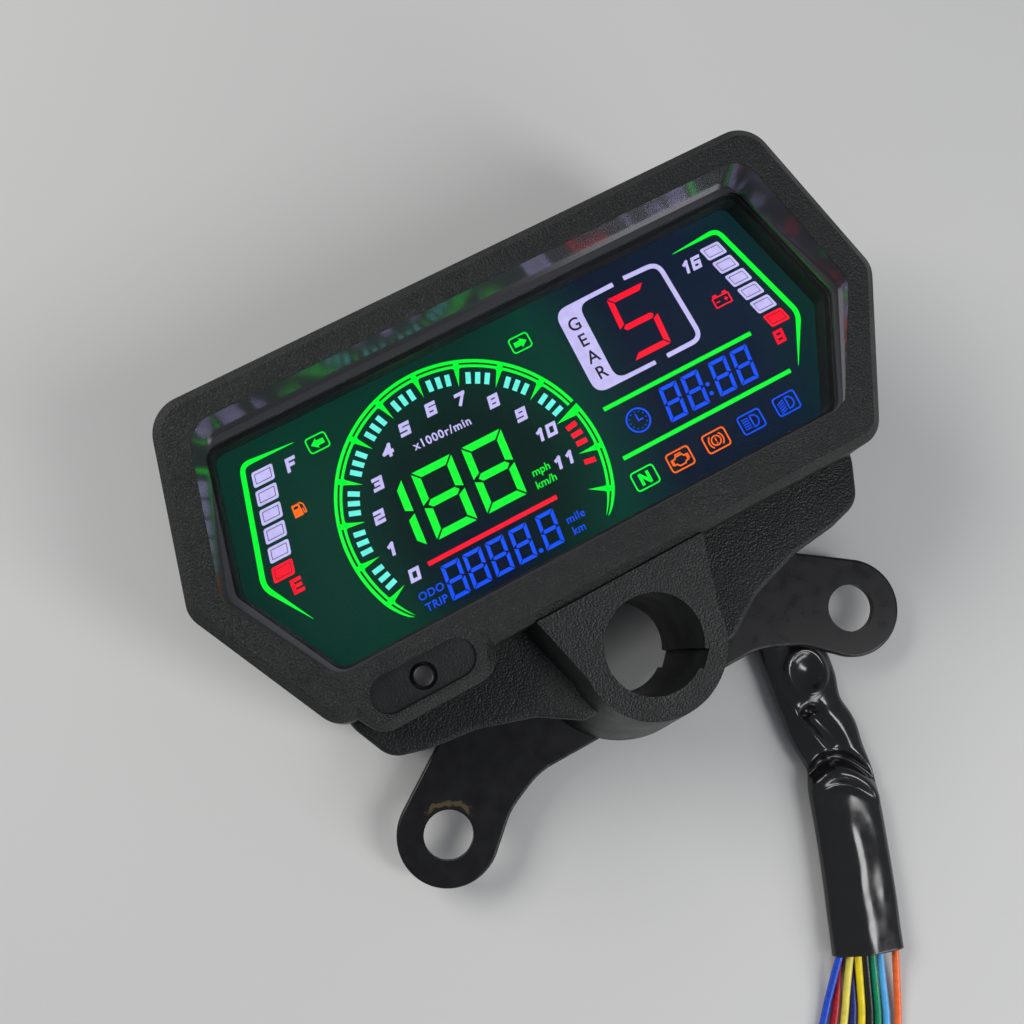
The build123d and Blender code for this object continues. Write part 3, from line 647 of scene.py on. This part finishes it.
# ---- flat shapes on the display
class Layer:
    """Flat shapes of one colour on the display's glass, as thin solids in one mesh."""

    LIFT = 0.06
    THICKNESS = 0.10

    def __init__(self, name, finish, lift=0.0):
        self.name = name
        self.finish = finish
        self.base = self.LIFT + lift + self.THICKNESS / 2
        self.solids = bmesh.new()

    def take(self, curve, where=Matrix.Identity(4)):
        curve.extrude = self.THICKNESS / 2
        source = bpy.data.objects.new("shape", curve)
        mesh = bpy.data.meshes.new_from_object(source)
        mesh.transform(TO_FRAME @ Matrix.Translation((0, 0, self.base)) @ where)
        self.solids.from_mesh(mesh)
        bpy.data.objects.remove(source)
        bpy.data.meshes.remove(mesh)
        bpy.data.curves.remove(curve)

    def shape(self, *loops):
        """A filled outline; further loops are holes in it."""
        curve = bpy.data.curves.new("shape", "CURVE")
        curve.dimensions = "2D"
        curve.fill_mode = "BOTH"
        for loop in loops:
            spline = curve.splines.new("POLY")
            spline.points.add(len(loop) - 1)
            for point, (x, y) in zip(spline.points, loop):
                point.co = (x, y, 0.0, 1.0)
            spline.use_cyclic_u = True
        self.take(curve)

    def words(self, text, x, y, size, bold, slant=0.0, spacing=1.0, tilt=0.0):
        """Plain lettering whose middle is at x, y and whose capitals are about 0.7 of size tall."""
        curve = bpy.data.curves.new("words", "FONT")
        curve.body = text
        curve.align_x = "CENTER"
        curve.align_y = "CENTER"
        curve.size = size
        curve.offset = bold * size
        curve.shear = slant
        curve.space_character = spacing
        curve.resolution_u = 4
        self.take(curve, Matrix.Translation((x, y, 0)) @ Matrix.Rotation(math.radians(tilt), 4, "Z"))

    def finish_layer(self):
        bmesh.ops.remove_doubles(self.solids, verts=self.solids.verts, dist=1e-7)
        bmesh.ops.recalc_face_normals(self.solids, faces=self.solids.faces)
        mesh = bpy.data.meshes.new(self.name)
        self.solids.to_mesh(mesh)
        self.solids.free()
        mesh.materials.append(self.finish.material)
        piece = bpy.data.objects.new(self.name, mesh)
        bpy.context.scene.collection.objects.link(piece)
        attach(piece, "cluster")


def arc(centre, radius, start, end, steps=8):
    """Points along an arc, its angles in degrees."""
    turns = [math.radians(start + (end - start) * i / steps) for i in range(steps + 1)]
    return [(centre[0] + radius * math.cos(t), centre[1] + radius * math.sin(t)) for t in turns]


def circle(centre, radius, steps=40):
    return arc(centre, radius, 0, 360 * (steps - 1) / steps, steps - 1)


def leaned(loop, middle, slant):
    """The loop with its top leaning right by slant times its height above the middle."""
    return [(x + slant * (y - middle), y) for x, y in loop]


def rounded_box(x, y, width, height, radius, slant=0.0):
    loop = []
    for sx, sy, start in ((1, 1, 0), (-1, 1, 90), (-1, -1, 180), (1, -1, 270)):
        corner = (x + sx * (width / 2 - radius), y + sy * (height / 2 - radius))
        loop += arc(corner, radius, start, start + 90, 5)
    return leaned(loop, y, slant)


def soften(points, radius):
    """An open line with its corners rounded."""
    line = [points[0]]
    for before, here, after in zip(points, points[1:], points[2:]):
        here, before, after = Vector(here), Vector(before), Vector(after)
        back, ahead = (before - here), (after - here)
        cut = min(radius, back.length * 0.45, ahead.length * 0.45)
        first, last = here + back.normalized() * cut, here + ahead.normalized() * cut
        for i in range(7):
            t = i / 6
            line.append(tuple(first * (1 - t) ** 2 + here * 2 * t * (1 - t) + last * t * t))
    return line + [points[-1]]


def stroke(points, widths):
    """The outline of a line drawn with a pen that changes width evenly by length along the points."""
    line = [Vector(p) for p in points]
    lengths = [0.0]
    for before, here in zip(line, line[1:]):
        lengths.append(lengths[-1] + (here - before).length)
    left, right = [], []
    for i, here in enumerate(line):
        share = lengths[i] / lengths[-1] * (len(widths) - 1)
        low = min(int(share), len(widths) - 2)
        width = widths[low] + (widths[low + 1] - widths[low]) * (share - low)
        ahead = (line[min(i + 1, len(line) - 1)] - here)
        behind = (here - line[max(i - 1, 0)])
        ahead = ahead.normalized() if ahead.length else behind.normalized()
        behind = behind.normalized() if behind.length else ahead
        mitre = (ahead + behind).normalized()
        side = Vector((-mitre.y, mitre.x)) * (width / 2 / max(0.5, mitre.dot(ahead)))
        left.append(tuple(here + side))
        right.append(tuple(here - side))
    return left + right[::-1]


def rule(layer, start, end, pen):
    """A straight line with square ends at its points."""
    layer.shape(stroke([start, end], [pen, pen]))


# strokes of each numeral, on a square one unit wide and one unit tall
NUMERALS = {
    "0": [[(0, 0), (0, 1), (1, 1), (1, 0), (0, 0)]],
    "1": [[(0.25, 0.82), (0.62, 1.0), (0.62, 0.0)]],
    "2": [[(0, 1), (1, 1), (1, 0.52), (0, 0.48), (0, 0), (1, 0)]],
    "3": [[(0, 1), (1, 1), (1, 0), (0, 0)], [(0.25, 0.5), (1, 0.5)]],
    "4": [[(0.78, 0), (0.78, 1), (0, 0.32), (1.05, 0.32)]],
    "5": [[(1, 1), (0, 1), (0, 0.52), (1, 0.52), (1, 0), (0, 0)]],
    "6": [[(1, 1), (0, 1), (0, 0), (1, 0), (1, 0.52), (0, 0.52)]],
    "7": [[(0, 1), (1, 1), (0.35, 0)]],
    "8": [[(0, 0), (0, 1), (1, 1), (1, 0), (0, 0)], [(0, 0.5), (1, 0.5)]],
    "9": [[(0, 0), (1, 0), (1, 1), (0, 1), (0, 0.5), (1, 0.5)]],
    "F": [[(0, 0), (0, 1), (1, 1)], [(0, 0.5), (0.8, 0.5)]],
    "E": [[(1, 0), (0, 0), (0, 1), (1, 1)], [(0, 0.5), (0.9, 0.5)]],
}


def bar(layer, start, end, pen, middle, slant):
    """A straight bar with square ends that reach half a pen past its points, leaned like its numeral."""
    a, b = Vector(start), Vector(end)
    run = (b - a).normalized() * pen / 2
    side = Vector((-run.y, run.x))
    loop = [a - run + side, b + run + side, b + run - side, a - run - side]
    layer.shape(leaned([tuple(p) for p in loop], middle, slant))


def numeral(layer, text, x, y, width, height, pen, slant=0.22, gap=0.9):
    """Heavy square numerals with their middle at x, y."""
    step = width + pen + gap
    start = x - step * (len(text) - 1) / 2 - width / 2
    for i, sign in enumerate(text):
        for line in NUMERALS[sign]:
            points = [(start + step * i + px * width, y + (py - 0.5) * height) for px, py in line]
            for a, b in zip(points, points[1:]):
                bar(layer, a, b, pen, y, slant)


def segment(layer, start, end, inward, pen, cut, middle, slant):
    """One bar of a seven-segment digit, bevelled at its ends; inward is None on the middle bar.

    An end at half height stops at the middle bar's centre line, so its outer edge isn't drawn past it.
    """
    a, b = Vector(start), Vector(end)
    run = (b - a).normalized()
    half = pen / 2
    if inward is None:
        side = Vector((-run.y, run.x)) * half
        loop = [a + run * cut, a + run * (half + cut) + side, b - run * (half + cut) + side,
                b - run * cut, b - run * (half + cut) - side, a + run * (half + cut) - side]
    else:
        into = Vector(inward) * half
        outer_a, outer_b = [cut if abs(end.y - middle) < 1e-6 else cut - half for end in (a, b)]
        loop = [a + run * (half + cut) + into, a + run * outer_a - into,
                b - run * outer_b - into, b - run * (half + cut) + into]
    layer.shape(leaned([tuple(p) for p in loop], middle, slant))


# each bar's ends on a unit square, and the direction into the digit
SEGMENTS = {"top": ((0, 1), (1, 1), (0, -1)), "middle": ((0, 0.5), (1, 0.5), None),
            "bottom": ((0, 0), (1, 0), (0, 1)),
            "upper_left": ((0, 0.5), (0, 1), (1, 0)), "lower_left": ((0, 0), (0, 0.5), (1, 0)),
            "upper_right": ((1, 0.5), (1, 1), (-1, 0)), "lower_right": ((1, 0), (1, 0.5), (-1, 0))}
EIGHT = list(SEGMENTS)
FIVE = ["top", "upper_left", "middle", "lower_right", "bottom"]
ONE = ["upper_right", "lower_right"]


def seven_segments(layer, x, y, width, height, pen, lit=EIGHT, *, slant, cut):
    """A digit whose middle is at x, y; width and height run between the middles of its bars."""
    for name in lit:
        first, last, inward = SEGMENTS[name]
        ends = [(x + (px - 0.5) * width, y + (py - 0.5) * height) for px, py in (first, last)]
        segment(layer, *ends, inward, pen, cut, y, slant)


# ---- the display's picture
RULE_PEN = 1.25             # of the long lines under the figures
GREEN = linear(0, 255, 52)
CYAN = linear(110, 255, 238)
RED = linear(255, 8, 44)
WHITE = linear(206, 198, 255)
BLUE = linear(14, 84, 255)
ORANGE = linear(255, 108, 20)

lit_green = Layer("lit_green", glowing("lit_green", GREEN, 1.1))
lit_cyan = Layer("lit_cyan", glowing("lit_cyan", CYAN, 1.0))
lit_red = Layer("lit_red", glowing("lit_red", RED, 1.15))
lit_white = Layer("lit_white", glowing("lit_white", WHITE, 1.0))
lit_blue = Layer("lit_blue", glowing("lit_blue", BLUE, 1.0))
lit_orange = Layer("lit_orange", glowing("lit_orange", ORANGE, 1.1))
dark_ink = Layer("dark_ink", plain_plastic("dark_ink", (0.006, 0.006, 0.014, 1), 0.3), lift=0.12)

TICK_START = 203.3
TICK_STEP = 18.93
RING_OUT, RING_GAP_OUT, RING_GAP_IN, RING_IN = 38.8, 37.85, 37.3, 36.5
BAR_OUT, BAR_IN, BAR_W = 35.1, 31.8, 1.45
TICK_TIP = 31.2
RING_PAST_END = 12.1
RING_STEPS = 90
RED_FROM = 10
TICKS = 13


def polar(radius, degrees, aside=0.0):
    """A point at a radius and angle of the dial, moved aside along the rim."""
    t = math.radians(degrees)
    return (DIAL[0] + radius * math.cos(t) - aside * math.sin(t),
            DIAL[1] + radius * math.sin(t) + aside * math.cos(t))


def ring_band(outer, inner, start, end, pointed_start, pointed_end):
    """Part of the ring, its width closing to a point over the last stretch at either end."""
    outside, inside = [], []
    for i in range(RING_STEPS + 1):
        angle = start + (end - start) * i / RING_STEPS
        share = 1.0
        if pointed_start:
            share = min(share, abs(angle - start) / RING_PAST_END)
        if pointed_end:
            share = min(share, abs(angle - end) / RING_PAST_END)
        share = share ** 0.7
        middle = inner + (RING_IN - inner) * (1 - share) * 0.6
        outside.append(polar(outer - (outer - middle) * (1 - share), angle))
        inside.append(polar(middle, angle))
    return outside + inside[::-1]


def dial():
    first = TICK_START + RING_PAST_END
    last = TICK_START - (TICKS - 1) * TICK_STEP - RING_PAST_END
    break_at = TICK_START - RED_FROM * TICK_STEP
    for start, end, pointed in ((first, break_at + 3.2, (True, False)),
                                (break_at + 0.9, last, (False, True))):
        lit_green.shape(ring_band(RING_OUT, RING_GAP_OUT, start, end, *pointed))
        lit_green.shape(ring_band(RING_GAP_IN, RING_IN, start, end, *pointed))
    for i in range(TICKS):
        angle = TICK_START - i * TICK_STEP
        if i == RED_FROM:
            lit_green.shape([polar(RING_OUT, angle, 1.1), polar(TICK_TIP - 0.6, angle, 0.2),
                             polar(RING_IN, angle, -1.5), polar(RING_OUT, angle, -0.9)])
            continue
        lit_green.shape([polar(RING_OUT - 0.3, angle, 0.75), polar(RING_IN, angle, 0.8),
                         polar(TICK_TIP, angle, 0.05), polar(RING_IN, angle, -0.8),
                         polar(RING_OUT - 0.3, angle, -0.75)])
        lit_green.shape([polar(RING_IN + 0.2, angle, 1.35), polar(RING_IN + 0.2, angle, -1.35),
                         polar(RING_IN - 1.1, angle)])
    for i in range(RED_FROM + 2):
        bars = 3 if i <= RED_FROM else 1
        for j in range(bars):
            angle = TICK_START - (i + 0.26 + 0.24 * j) * TICK_STEP
            layer = lit_cyan if i < RED_FROM else lit_red
            layer.shape([polar(BAR_OUT, angle, BAR_W / 2), polar(BAR_IN, angle, BAR_W / 2),
                         polar(BAR_IN, angle, -BAR_W / 2), polar(BAR_OUT, angle, -BAR_W / 2)])
    places = [(-47.9, -11.2), (-50.2, -2.2), (-49.1, 7.2), (-45.3, 15.5), (-38.7, 22.4), (-31.7, 25.7),
              (-22.7, 27.4), (-14.1, 26.2), (-6.1, 21.5), (-1.0, 14.6), (2.8, 7.0), (3.6, -2.3)]
    for i, (x, y) in enumerate(places):
        numeral(lit_white, str(i), x, y, 2.2, 2.7, 0.95, gap=0.35)
    lit_white.words("x1000r/min", -23.1, 19.8, 3.3, bold=0.02, spacing=1.14, tilt=-1.5)


def speed_and_distance():
    for x, lit in ((-46.4, ONE), (-30.9, EIGHT), (-15.3, EIGHT)):
        seven_segments(lit_green, x, 4.0, 10.3, 17.5, 2.15, lit, slant=0.10, cut=0.36)
    lit_green.words("mph", -3.6, -1.6, 3.2, bold=0.008, slant=0.12)
    lit_green.words("km/h", -3.8, -5.2, 3.2, bold=0.008, slant=0.12)
    rule(lit_red, (-43.4, -10.4), (-3.2, -10.4), RULE_PEN)
    for x in (-38.7, -32.0, -25.0, -17.8, -9.3):
        seven_segments(lit_blue, x, -17.5, 4.5, 8.8, 1.1, slant=0.13, cut=0.17)
    lit_blue.shape(circle((-14.2, -21.5), 0.65, 16))
    lit_blue.words("ODO", -46.2, -17.5, 3.1, bold=0.016, slant=0.1, spacing=1.1)
    lit_blue.words("TRIP", -46.3, -20.9, 3.1, bold=0.016, slant=0.1, spacing=1.1)
    lit_blue.words("mile", -1.3, -17.6, 3.2, bold=0.01, slant=0.1, spacing=1.08)
    lit_blue.words("km", -2.0, -21.1, 3.2, bold=0.01, slant=0.1)


GAUGE_BAR = (5.5, 3.45, 0.26)        # width, height and lean of a fuel or voltage bar
GAUGE_BARS = [(71.7, 31.65), (73.05, 26.55), (74.45, 21.45), (75.75, 16.4), (77.1, 11.3), (78.6, 6.1)]


def gauge(side):
    """A column of six framed bars on one side, inside its tapering green outline."""
    width, height, lean = GAUGE_BAR
    for i, (x, y) in enumerate(GAUGE_BARS):
        layer = lit_red if i == len(GAUGE_BARS) - 1 else lit_white
        slant = -lean * side
        layer.shape(rounded_box(side * x, y, width + 0.7, height + 0.7, 0.6, slant),
                    rounded_box(side * x, y, width - 0.75, height - 0.75, 0.2, slant)[::-1])
        layer.shape(rounded_box(side * x, y, width - 1.15, height - 1.15, 0.12, slant))
    outline = [(60.4, 36.15), (75.6, 36.75), (85.1, 4.4), (77.3, -9.1)]
    line = soften([(side * x, y) for x, y in outline], 2.4)
    lit_green.shape(stroke(line, [0.15, 1.35, 1.55, 1.55, 1.5, 0.12]))


def gauge_labels():
    numeral(lit_white, "F", -63.6, 31.1, 2.0, 2.9, 0.95)
    numeral(lit_red, "E", -77.0, 0.9, 2.3, 3.1, 0.95, slant=0.1)
    numeral(lit_white, "16", 63.8, 30.9, 2.0, 2.9, 0.9, gap=0.35)
    numeral(lit_red, "8", 76.6, 0.8, 2.3, 3.1, 0.85, slant=0.1)


def turn_arrow(x, y, side):
    lit_green.shape(rounded_box(x, y, 6.2, 4.7, 1.0), rounded_box(x, y, 5.4, 3.9, 0.65)[::-1])
    arrow = [(2.0, 0), (0.1, 1.45), (0.1, 0.75), (-1.9, 0.75), (-1.9, -0.75), (0.1, -0.75), (0.1, -1.45)]
    lit_green.shape([(x + side * px, y + py) for px, py in arrow])


def fuel_pump(x, y):
    lit_orange.shape([(x - 1.7, y - 1.7), (x + 0.9, y - 1.7), (x + 0.9, y + 1.8), (x - 1.3, y + 1.8)],
                     [(x - 0.95, y + 0.5), (x - 0.85, y + 1.25), (x + 0.35, y + 1.25), (x + 0.35, y + 0.5)])
    hose = soften([(x + 1.0, y + 1.9), (x + 1.9, y + 1.1), (x + 1.9, y - 1.3), (x + 1.3, y - 1.3),
                   (x + 1.3, y + 0.1)], 0.3)
    lit_orange.shape(stroke(hose, [0.35, 0.35]))


def battery(x, y):
    lit_red.shape(rounded_box(x, y - 0.3, 5.6, 3.3, 0.4), rounded_box(x, y - 0.3, 4.8, 2.5, 0.2)[::-1])
    for dx in (-1.6, 1.6):
        lit_red.shape(rounded_box(x + dx, y + 1.65, 1.3, 0.8, 0.12))
    for x0, y0, x1, y1 in ((-1.9, -0.3, -0.7, -0.3), (0.7, -0.3, 1.9, -0.3), (1.3, -0.9, 1.3, 0.3)):
        rule(lit_red, (x + x0, y + y0), (x + x1, y + y1), 0.35)


def gear_window():
    """The pale frame round the gear figure: a wide band on the left with its word, thin elsewhere."""
    outer = soften([(40.4, 36.6), (21.2, 36.3), (20.8, 9.9), (40.4, 9.9)], 4.0)
    inner = soften([(40.4, 35.3), (28.5, 35.1), (28.0, 11.2), (40.4, 11.1)], 3.4)
    lit_white.shape(outer + inner[::-1])
    right = soften([(44.0, 36.2), (55.1, 35.9), (55.9, 10.7), (44.3, 10.6)], 3.4)
    lit_white.shape(stroke(right, [1.3, 1.4, 1.4, 1.3]))
    for sign, x, y in (("G", 24.8, 30.4), ("E", 24.9, 25.2), ("A", 25.1, 19.9), ("R", 25.1, 14.8)):
        dark_ink.words(sign, x, y, 5.3, bold=0.010)
    seven_segments(lit_red, 41.9, 23.1, 10.4, 17.6, 1.7, FIVE, slant=0.07, cut=0.3)


def clock():
    middle = (27.8, -1.9)
    lit_blue.shape(circle(middle, 3.65), circle(middle, 3.15)[::-1])
    for i in range(12):
        spot = arc(middle, 2.5, 30 * i, 30 * i + 1, 1)[0]
        lit_blue.shape(circle(spot, 0.2, 8))
    lit_blue.shape(stroke([(27.8, 0.0), (27.8, -2.0), (29.3, -2.0)], [0.45, 0.45]))
    for x in (39.4, 46.6, 55.8, 63.0):
        seven_segments(lit_blue, x, -1.8, 4.6, 9.2, 1.1, slant=0.13, cut=0.17)
    for x, y in ((50.7, -1.9), (50.45, -4.7)):
        lit_blue.shape(circle((x, y), 0.62, 16))
    rule(lit_green, (20.4, 5.2), (69.4, 5.4), RULE_PEN)
    rule(lit_green, (18.6, -9.6), (74.4, -9.4), RULE_PEN)


ICON_Y = -17.2
ICON_SIZE = (7.6, 5.9)
ICON_FRAME = 0.9            # both sides of an icon's frame together
ICON_PEN = 0.4
OUTLINE_PEN = 0.42


def icon_box(layer, x):
    """The rounded frame round an icon."""
    width, height = ICON_SIZE
    hole = rounded_box(x, ICON_Y, width - ICON_FRAME, height - ICON_FRAME, 0.7)
    layer.shape(rounded_box(x, ICON_Y, width, height, 1.1), hole[::-1])


def icon_outline(layer, points):
    """A closed outline of straight bars."""
    for a, b in zip(points, points[1:] + points[:1]):
        bar(layer, a, b, OUTLINE_PEN, ICON_Y, 0.0)


def beam_icon(x, droop):
    """A headlamp with its rays, level for the high beam and drooping for the low."""
    icon_box(lit_blue, x)
    lamp = [(x + 0.2, ICON_Y + 1.7)] + arc((x + 0.5, ICON_Y), 1.75, 80, -80, 10) + [(x + 0.2, ICON_Y - 1.7)]
    icon_outline(lit_blue, lamp)
    for i in range(5):
        y = ICON_Y + 1.45 - 0.72 * i
        rule(lit_blue, (x - 0.5, y), (x - 2.6, y - droop), 0.34)


def warning_icons():
    """Neutral, engine, brake and the two beams, from left to right."""
    icon_box(lit_green, 21.5)
    rule(lit_green, (20.3, -19.0), (20.3, -15.5), 0.9)
    rule(lit_green, (20.2, -15.6), (22.8, -18.9), 0.95)
    rule(lit_green, (22.7, -19.0), (22.7, -15.5), 0.9)
    icon_box(lit_orange, 33.0)
    engine = [(-2.2, 0.7), (-1.5, 0.7), (-1.0, 1.2), (1.0, 1.2), (1.5, 0.6), (2.1, 0.6),
              (2.1, -1.0), (1.5, -1.0), (0.9, -1.6), (-0.8, -1.6), (-1.5, -0.9), (-2.2, -0.9)]
    icon_outline(lit_orange, [(33.0 + px, ICON_Y + py) for px, py in engine])
    rule(lit_orange, (32.0, ICON_Y + 1.75), (34.0, ICON_Y + 1.75), ICON_PEN)
    for x in (30.4, 35.6):
        rule(lit_orange, (x, ICON_Y - 0.9), (x, ICON_Y + 0.8), ICON_PEN)
    brake = (44.9, ICON_Y)
    icon_box(lit_orange, brake[0])
    lit_orange.shape(circle(brake, 1.6, 28), circle(brake, 1.2, 28)[::-1])
    for start in (-50, 130):
        lit_orange.shape(stroke(arc(brake, 2.25, start, start + 100, 10), [ICON_PEN, ICON_PEN]))
    rule(lit_orange, (brake[0], ICON_Y + 0.85), (brake[0], ICON_Y - 0.2), ICON_PEN)
    lit_orange.shape(circle((brake[0], ICON_Y - 0.75), 0.25, 10))
    beam_icon(56.7, 0.0)
    beam_icon(68.5, 0.75)


dial()
speed_and_distance()
for mirror_side in (-1, 1):
    gauge(mirror_side)
gauge_labels()
turn_arrow(-54.6, 33.1, -1)
turn_arrow(8.5, 32.8, 1)
fuel_pump(-67.6, 18.9)
battery(66.8, 18.0)
gear_window()
clock()
warning_icons()
for finished in (lit_green, lit_cyan, lit_red, lit_white, lit_blue, lit_orange, dark_ink):
    finished.finish_layer()


# ---- floor and light
FLOOR_HALF = 2.5
LIT_POINT = Vector((0, 0, 0.03))        # what every lamp is turned to


def make_floor():
    build = bmesh.new()
    bmesh.ops.create_grid(build, x_segments=1, y_segments=1, size=FLOOR_HALF)
    mesh = bpy.data.meshes.new("floor")
    build.to_mesh(mesh)
    build.free()
    floor = bpy.data.objects.new("floor", mesh)
    bpy.context.scene.collection.objects.link(floor)
    finish = Finish("floor", (0.62, 0.62, 0.61, 1), 0.75)
    finish.bump(finish.noise(1.2, 3.0), 0.05, 0.2)
    mesh.materials.append(finish.material)


def area_light(name, where, size, power, colour=(1, 1, 1)):
    data = bpy.data.lights.new(name, "AREA")
    data.shape = "RECTANGLE"
    data.size, data.size_y = size
    data.energy = power
    data.color = colour
    light = bpy.data.objects.new(name, data)
    light.location = where
    light.rotation_euler = (LIT_POINT - Vector(where)).to_track_quat("-Z", "Y").to_euler()
    bpy.context.scene.collection.objects.link(light)


def make_lights():
    world = bpy.data.worlds.new("studio")
    world.use_nodes = True
    sky = world.node_tree.nodes["Background"]
    sky.inputs["Color"].default_value = (0.86, 0.9, 1.0, 1)
    sky.inputs["Strength"].default_value = 0.24
    bpy.context.scene.world = world
    area_light("key", (-0.55, 0.75, 0.85), (0.7, 0.5), 9.0, (1.0, 0.98, 0.95))
    area_light("fill", (0.42, -0.52, 0.9), (0.22, 0.5), 3.4)
    area_light("rim", (0.25, -0.75, 0.35), (0.5, 0.2), 2.0)


make_floor()
make_lights()
bpy.context.scene.view_settings.view_transform = "Standard"
